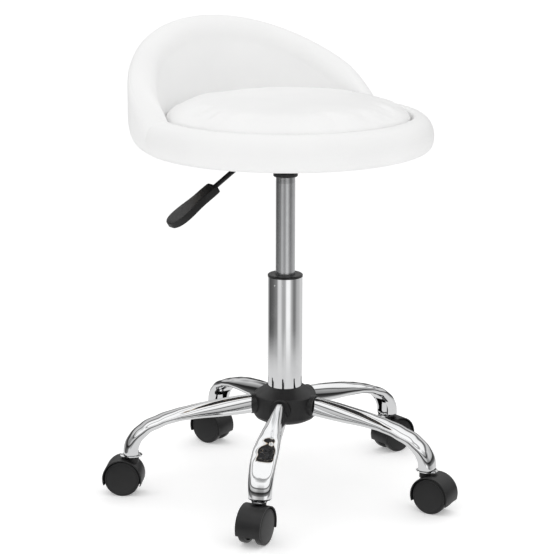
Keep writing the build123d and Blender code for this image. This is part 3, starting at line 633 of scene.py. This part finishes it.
def shape_tube(places):
    """A straight tube of twelve sides, pulled out station by station and given each station's section."""
    deselect()
    bpy.ops.mesh.primitive_circle_add(vertices=12, radius=1.0, rotation=(0, pi / 2, 0))
    leg = bpy.context.object
    bpy.ops.object.transform_apply(location=False, rotation=True, scale=False)
    edit(leg)
    bpy.ops.mesh.select_mode(type="VERT")
    bpy.ops.mesh.select_all(action="SELECT")
    bpy.ops.transform.rotate(value=pi / 12, orient_axis="X", center_override=(0, 0, 0))
    rows = [(sin(radians(a)), cos(radians(a))) for a in (75, 45, 15, -15, -45, -75)]
    x = 0.0
    for station, place in zip(LEG_STATIONS, places):
        if place > 0:
            pick("VERT", lambda v: abs(v.co.x - x) < NEAR)
            bpy.ops.mesh.extrude_region_move(TRANSFORM_OT_translate={"value": (place - x, 0, 0)})
            x = place
        target = leg_rows(*station[2:])
        for (old_z, old_y), (new_z, new_y) in zip(rows, target):
            pick("VERT", lambda v: abs(v.co.x - x) < NEAR and abs(v.co.z - old_z) < NEAR
                 and abs(abs(v.co.y) - old_y) < NEAR)
            bpy.ops.transform.resize(value=(1, new_y / old_y, 1), center_override=(x, 0, old_z))
            bpy.ops.transform.translate(value=(0, 0, new_z - old_z))
        rows = target
    done()
    return leg


def crease_edges(leg, places):
    """Sharpens the ridge and the tube's lower corners near the hub, less and less on the way out."""
    edit(leg)
    for i, sharp in enumerate(EDGE_SHARP):
        middle = (places[i] + places[i + 1]) / 2
        levels = [leg_rows(*station[2:]) for station in LEG_STATIONS[i:i + 2]]
        for row, share in ((0, 1.0), (4, LOW_EDGE_SHARE)):
            level = (levels[0][row][0] + levels[1][row][0]) / 2
            pick("EDGE", lambda e: abs((e.verts[0].co.x + e.verts[1].co.x) / 2 - middle) < NEAR
                 and abs((e.verts[0].co.z + e.verts[1].co.z) / 2 - level) < NEAR
                 and abs(e.verts[0].co.x - e.verts[1].co.x) > 0.004)
            bpy.ops.transform.edge_crease(value=sharp * share)
    done()


def cut_window(leg):
    """Opens the inner wall at the foot, up to its round sides, so that the stem's socket shows."""
    edit(leg)
    for edge, way in (((0, WINDOW_HALF, 0), (0, 1, 0)), ((0, -WINDOW_HALF, 0), (0, 1, 0)),
                      ((0, 0, socket_foot + WINDOW_RISE), (0, 0, 1))):
        pick("FACE", lambda f: f.calc_center_median().z < socket_foot + 1.4 * WINDOW_RISE)
        bpy.ops.mesh.bisect(plane_co=edge, plane_no=way)
    pick("FACE", lambda f: f.calc_center_median().z < socket_foot + WINDOW_RISE and f.normal.x < -0.2
         and f.calc_center_median().x < stem_circle and abs(f.calc_center_median().y) < WINDOW_HALF)
    bpy.ops.mesh.delete(type="FACE")
    done()


def build_leg():
    """One leg along +X: the tube rounded, bent along its line, opened at the foot and given its wall."""
    line, places = leg_line()
    leg = shape_tube(places)
    crease_edges(leg, places)
    rounding = leg.modifiers.new("rounding", "SUBSURF")
    rounding.levels = rounding.render_levels = 3
    bend = leg.modifiers.new("bend", "CURVE")
    bend.object = line
    bpy.ops.object.modifier_apply(modifier="rounding")
    bpy.ops.object.modifier_apply(modifier="bend")
    bpy.data.objects.remove(line)
    outward(leg)
    cut_window(leg)
    skin = len(leg.data.polygons)
    wall = leg.modifiers.new("wall", "SOLIDIFY")
    wall.thickness, wall.offset = LEG_WALL, -1.0
    bpy.ops.object.modifier_apply(modifier="wall")
    # Marks the faces of the tube's inner wall, which the chrome material darkens as painted shade.
    inside = leg.data.attributes.new("inside", "FLOAT", "FACE")
    for face in leg.data.polygons:
        inside.data[face.index].value = float(skin <= face.index < 2 * skin)
    bpy.ops.object.shade_smooth_by_angle(angle=radians(40))
    return leg


def bright_chrome():
    """Polished chrome plate with faint wiping marks; inside a tube it is dull, and its colour there is darkened to
    near black as painted shade.
    """
    material, place = finish("bright_chrome", {"Metallic": 1.0})
    marks = speckle(place, 28.0, 4.0)
    fine = speckle(place, 900.0)
    rough = 0.035 + marks.soft(0.45, 0.75) * 0.05
    tone = tint(marks.soft(0.3, 0.8), (0.93, 0.935, 0.94), (0.88, 0.885, 0.895))
    # On the inner wall the colour goes near black, as painted shade inside the tube; the added roughness there is
    # the dull inside.
    inside = place.node("Attribute", {"attribute_name": "inside"}, {}, "Fac")
    tone = inside.node("MixRGB", {}, {"Fac": inside, "Color1": tone, "Color2": (0.13, 0.13, 0.135, 1)})
    rough = rough + inside * 0.4
    return feed(material, {"Base Color": tone, "Roughness": rough}, fine * 0.5 + marks * 0.5, 0.00001)


def copied(piece, name, turn):
    """A copy with its own mesh, set in place by this matrix."""
    copy = bpy.data.objects.new(name, piece.data.copy())
    copy.data.transform(turn)
    bpy.context.scene.collection.objects.link(copy)
    return copy


chrome = bright_chrome()
leg_form = build_leg()
for number in range(1, 6):
    swivel = swivel_spot(number)
    turn = Matrix.Rotation(atan2(swivel[1], swivel[0]), 4, "Z")
    dress(copied(leg_form, f"chrome_leg_{number}", turn), chrome, "chrome_tube", "base", f"leg_{number}")
bpy.data.objects.remove(leg_form)


# ---------------------------------------------------------------- castors
# Twin-wheel castors: a moulded hood with a web between two nylon wheels, a steel axle
# through the web, and a boss on top that turns on the stem.

HOOD_R, HOOD_WALL, HOOD_HALF, HOOD_CUT = 0.029, 0.0016, 0.0185, 19.0
WEB_HALF = 0.0075
TRAIL = 0.0145
AXLE_Z = 0.026
BOSS_R, BOSS_H, BOSS_TOP = 0.0085, 0.0092, 0.0582
HOOD_EDGE = 0.0008
# A wheel's outline in millimetres, (radius, distance from the castor's middle), from the bore outwards.
WHEEL_RINGS = (
    (3.1, 8.5), (15.0, 8.5), (15.5, 12.0), (21.5, 12.0), (22.0, 8.5), (25.0, 8.5), (25.7, 8.8), (26.0, 9.5),
    (26.0, 15.6), (25.8, 16.4), (25.2, 17.0), (24.2, 17.4), (23.2, 17.5), (22.9, 17.15), (22.5, 17.15),
    (22.2, 17.5), (20.0, 17.8), (15.0, 18.15), (8.0, 18.4), (2.0, 18.45),
)


def lathe(name, rings, sides):
    """A form turned about Z from (radius, height) rings, made ring by ring and closed at its last one."""
    deselect()
    bpy.ops.mesh.primitive_circle_add(vertices=sides, radius=rings[0][0], location=(0, 0, rings[0][1]))
    piece = bpy.context.object
    piece.name = name
    bpy.ops.object.transform_apply(location=True, rotation=False, scale=False)
    edit(piece)
    bpy.ops.mesh.select_mode(type="VERT")
    bpy.ops.mesh.select_all(action="SELECT")
    for (r0, z0), (r1, z1) in zip(rings, rings[1:]):
        bpy.ops.mesh.extrude_region_move(TRANSFORM_OT_translate={"value": (0, 0, z1 - z0)})
        bpy.ops.transform.resize(value=(r1 / r0, r1 / r0, 1), center_override=(0, 0, z1))
    bpy.ops.mesh.edge_face_add()
    done()
    return piece


def build_wheel():
    """A wheel about Z, its open side down towards the web and its outer face up."""
    wheel = lathe("wheel", [(r / 1000, z / 1000) for r, z in WHEEL_RINGS], 72)
    outward(wheel)
    bpy.ops.object.shade_smooth_by_angle(angle=radians(38))
    return wheel


def build_hood():
    """The hood about its axle, its trail along +X and the stem over (-TRAIL, 0)."""
    deselect()
    bpy.ops.mesh.primitive_cylinder_add(vertices=96, radius=HOOD_R, depth=2 * HOOD_HALF,
                                        rotation=(pi / 2, 0, 0))
    hood = bpy.context.object
    bpy.ops.object.transform_apply(location=False, rotation=True, scale=False)
    edit(hood)
    for side in (1, -1):
        inward = (0, -side * (HOOD_HALF - WEB_HALF), 0)
        pick("FACE", lambda f: f.normal.y * side > 0.9)
        bpy.ops.mesh.inset(thickness=HOOD_WALL)
        bpy.ops.mesh.extrude_region_move(TRANSFORM_OT_translate={"value": inward})
    bpy.ops.mesh.select_all(action="SELECT")
    cut = -HOOD_R * sin(radians(HOOD_CUT))
    bpy.ops.mesh.bisect(plane_co=(0, 0, cut), plane_no=(0, 0, 1), use_fill=True, clear_inner=True)
    done()
    deselect()
    bpy.ops.mesh.primitive_cylinder_add(vertices=48, radius=BOSS_R, depth=BOSS_H,
                                        location=(-TRAIL, 0, BOSS_TOP - AXLE_Z - BOSS_H / 2))
    boss = bpy.context.object
    bpy.ops.object.transform_apply(location=True, rotation=False, scale=False)
    take_up(hood)
    joined = hood.modifiers.new("boss", "BOOLEAN")
    joined.operation, joined.object, joined.solver = "UNION", boss, "EXACT"
    bpy.ops.object.modifier_apply(modifier="boss")
    bpy.data.objects.remove(boss)
    edge = hood.modifiers.new("edge", "BEVEL")
    edge.width, edge.segments = HOOD_EDGE, 3
    edge.limit_method, edge.angle_limit = "ANGLE", radians(40)
    bpy.ops.object.modifier_apply(modifier="edge")
    bpy.ops.object.shade_smooth_by_angle(angle=radians(35))
    return hood


def moulded_black(name, tone, rough, grit):
    """Black moulded plastic with a spark texture from the tool."""
    material, place = finish(name, {"Specular IOR Level": 0.45})
    sparks = speckle(place, 1900.0, 3.0, 0.6)
    haze = speckle(place, 35.0, 3.0)
    dark, light = (tone, tone, tone * 1.03), (tone * 1.7, tone * 1.7, tone * 1.75)
    colour = tint(haze.soft(0.3, 0.75) * 0.6 + sparks.soft(0.5, 0.8) * 0.3, dark, light)
    return feed(material, {"Base Color": colour, "Roughness": rough + haze * 0.12}, sparks, grit)


black_plastic = moulded_black("black_plastic", 0.014, 0.34, 0.00006)
wheel_nylon = moulded_black("wheel_nylon", 0.011, 0.30, 0.00002)


def ground_steel():
    """Ground steel, bright, with fine rings round the piece."""
    material, place = finish("ground_steel", {"Metallic": 1.0})
    stretched = place.node("Mapping", {}, {"Vector": place, "Scale": (6.0, 6.0, 900.0)})
    rings = speckle(stretched, 1.6, 2.0)
    clouds = speckle(place, 60.0)
    tone = tint(clouds * 0.7 + rings * 0.3, (0.60, 0.605, 0.615), (0.74, 0.745, 0.755))
    return feed(material, {"Base Color": tone, "Roughness": 0.17 + rings * 0.10}, rings, 0.00001)


steel = ground_steel()
hood_form, wheel_form = build_hood(), build_wheel()
for number in range(1, 6):
    low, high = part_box(f"castor_{number}_axle")
    axle = (low + high) / 2
    stem = Vector(swivel_spot(number))
    trail = atan2(axle.y - stem.y, axle.x - stem.x)
    place = Matrix.Translation(axle) @ Matrix.Rotation(trail, 4, "Z")
    dress(copied(hood_form, f"hood_{number}", place), black_plastic, "black_plastic", f"castor_{number}",
          f"castor_{number}_hood")
    for side, sign in (("left", 1), ("right", -1)):
        lean = Matrix.Rotation(-sign * pi / 2, 4, "X")
        dress(copied(wheel_form, f"wheel_{number}_{side}", place @ lean), wheel_nylon, "wheel_nylon",
              f"castor_{number}_{side}", f"castor_{number}_wheel_{side}")
bpy.data.objects.remove(hood_form)
bpy.data.objects.remove(wheel_form)


# ---------------------------------------------------------------- lever grip
# A paddle moulded in black plastic and pushed over the bent rod's end: square at its root,
# narrow at its waist, broad and thin at its round tip.

GRIP_SLOPE, GRIP_ROUND = 32.0, 0.0030
ROOT_IN, ROOT_DOWN = 0.0050, 0.0062
# Each station: distance from the root, width and thickness.
GRIP_STATIONS = (
    (0.0000, 0.0225, 0.0100), (0.0008, 0.0245, 0.0120), (0.0180, 0.0243, 0.0122), (0.0290, 0.0232, 0.0120),
    (0.0420, 0.0262, 0.0120), (0.0540, 0.0308, 0.0118), (0.0660, 0.0322, 0.0116), (0.0750, 0.0306, 0.0112),
    (0.0820, 0.0250, 0.0104), (0.0860, 0.0160, 0.0090), (0.0872, 0.0090, 0.0080),
)


def build_grip():
    """A bar along +X from the root, widened and narrowed station by station, its long edges rounded."""
    deselect()
    bpy.ops.mesh.primitive_plane_add(size=1.0, rotation=(0, pi / 2, 0))
    grip = bpy.context.object
    bpy.ops.object.transform_apply(location=False, rotation=True, scale=False)
    edit(grip)
    bpy.ops.mesh.select_mode(type="FACE")
    bpy.ops.mesh.select_all(action="SELECT")
    x, wide, thick = 0.0, 1.0, 1.0
    for place, width, height in GRIP_STATIONS:
        if place > 0:
            bpy.ops.mesh.extrude_region_move(TRANSFORM_OT_translate={"value": (place - x, 0, 0)})
        x = place
        bpy.ops.transform.resize(value=(1, width / wide, height / thick), center_override=(x, 0, 0))
        wide, thick = width, height
    pick("EDGE", lambda e: abs(e.verts[0].co.x - e.verts[1].co.x) > NEAR
         or min(v.co.x for v in e.verts) > x - NEAR)
    bpy.ops.mesh.bevel(offset=GRIP_ROUND, segments=2, clamp_overlap=True)
    bpy.ops.mesh.select_all(action="SELECT")
    bpy.ops.mesh.remove_doubles(threshold=0.0001)
    bpy.ops.mesh.normals_make_consistent(inside=False)
    done()
    smooth_over(grip, 2)
    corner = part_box("lever_grip")[1]
    root = Matrix.Translation((corner.x - ROOT_IN, 0.0, corner.z - ROOT_DOWN))
    slope = Matrix.Rotation(radians(GRIP_SLOPE), 4, "Y")
    grip.data.transform(root @ Matrix.Rotation(pi, 4, "Z") @ slope)
    return grip


grip = build_grip()
grip.name = "paddle"
dress(grip, black_plastic, "black_plastic", "lever", "lever_grip")


# ---------------------------------------------------------------- hub cover lips
# Thin webs of the black plastic cover, moulded with it, that close each of its five
# sleeves round the leg.

LIP_R, LIP_AT, LIP_THICK, LIP_DROP = 0.0142, 0.0486, 0.0012, 0.0015

for number in range(1, 6):
    swivel = swivel_spot(number)
    way = Vector((swivel[0], swivel[1], 0)).normalized()
    deselect()
    bpy.ops.mesh.primitive_cylinder_add(vertices=64, radius=LIP_R, depth=LIP_THICK)
    lip = bpy.context.object
    lip.name = f"cover_lip_{number}"
    edit(lip)
    pick("FACE", lambda f: abs(f.normal.z) > 0.9)
    bpy.ops.mesh.inset(thickness=LIP_THICK)
    done()
    turn = way.to_track_quat("Z", "Y").to_matrix().to_4x4()
    middle = way * LIP_AT + Vector((0, 0, hub_height - LIP_DROP))
    lip.data.transform(Matrix.Translation(middle) @ turn)
    bpy.ops.object.shade_smooth_by_angle(angle=radians(35))
    dress(lip, black_plastic, "black_plastic", "base")


# ---------------------------------------------------------------- carried-over pieces
# The lift, hub and its cover, seat mechanism, castor stems and axles and the fixings: turned,
# welded, moulded and cut pieces that keep their own shapes and take their finishes here.


def worn_paint():
    """Black powder coat: a slight orange peel."""
    material, place = finish("black_paint", {"Specular IOR Level": 0.5})
    peel = speckle(place, 700.0, 1.0)
    haze = speckle(place, 40.0)
    tone = tint(haze, (0.014, 0.014, 0.015), (0.028, 0.028, 0.029))
    return feed(material, {"Base Color": tone, "Roughness": 0.30 + haze * 0.15}, peel, 0.00005)


def plated(name, first, second, rough):
    """Zinc plate or bare welded steel: grey metal with small clouds of two tones."""
    material, place = finish(name, {"Metallic": 1.0})
    clouds = speckle(place, 120.0, 4.0)
    return feed(material, {"Base Color": tint(clouds, first, second), "Roughness": rough + clouds * 0.2},
                clouds, 0.00002)


def birch_ply():
    """Plywood: long grain along the board and thin layers through its edge."""
    material, place = finish("plywood", {"Specular IOR Level": 0.3})
    stretched = place.node("Mapping", {}, {"Vector": place, "Scale": (1.0, 14.0, 1.0)})
    grain = speckle(stretched, 24.0, 5.0, 0.6)
    layers = place.node("TexWave", {"bands_direction": "Z"},
                        {"Vector": place, "Scale": 105.0, "Distortion": 0.6, "Detail": 1.0}, "Fac")
    tone = tint(grain.soft(0.3, 0.7) * 0.7 + layers * 0.3, (0.72, 0.55, 0.36), (0.50, 0.35, 0.21))
    return feed(material, {"Base Color": tone, "Roughness": 0.55 + grain * 0.2}, grain, 0.0001)


def dust_cloth():
    """Black spun cloth under the board: matted threads, pressed together at small dots."""
    material, place = finish("black_cloth", {"Specular IOR Level": 0.15})
    threads = speckle(place, 1400.0, 4.0, 0.7)
    dots = place.node("TexVoronoi", {}, {"Vector": place, "Scale": 620.0}, "Distance")
    worn = threads * 0.6 + dots.soft(0.2, 0.6) * 0.4
    tone = tint(worn, (0.012, 0.012, 0.013), (0.045, 0.045, 0.047))
    return feed(material, {"Base Color": tone, "Roughness": 0.85 + threads * 0.1},
                threads * 0.5 + dots * 0.5, 0.00025)


FINISHES = {
    "chrome_tube": chrome,
    "ground_steel": steel,
    "weld_steel": plated("weld_steel", (0.36, 0.37, 0.39), (0.50, 0.51, 0.53), 0.35),
    "zinc_steel": plated("zinc_steel", (0.66, 0.67, 0.70), (0.78, 0.79, 0.80), 0.22),
    "black_paint": worn_paint(),
    "black_plastic": black_plastic,
    "bush_plastic": moulded_black("bush_plastic", 0.012, 0.26, 0.00001),
    "wheel_nylon": wheel_nylon,
    "black_rubber": moulded_black("black_rubber", 0.016, 0.62, 0.00004),
    "black_cloth": dust_cloth(),
    "plywood": birch_ply(),
    "white_leather": leather,
}
for subpart in frame["record"]["subparts"]:
    node = frame["nodes"][subpart["node"]]
    node.data.materials.clear()
    node.data.materials.append(FINISHES[subpart["material_slot"]])
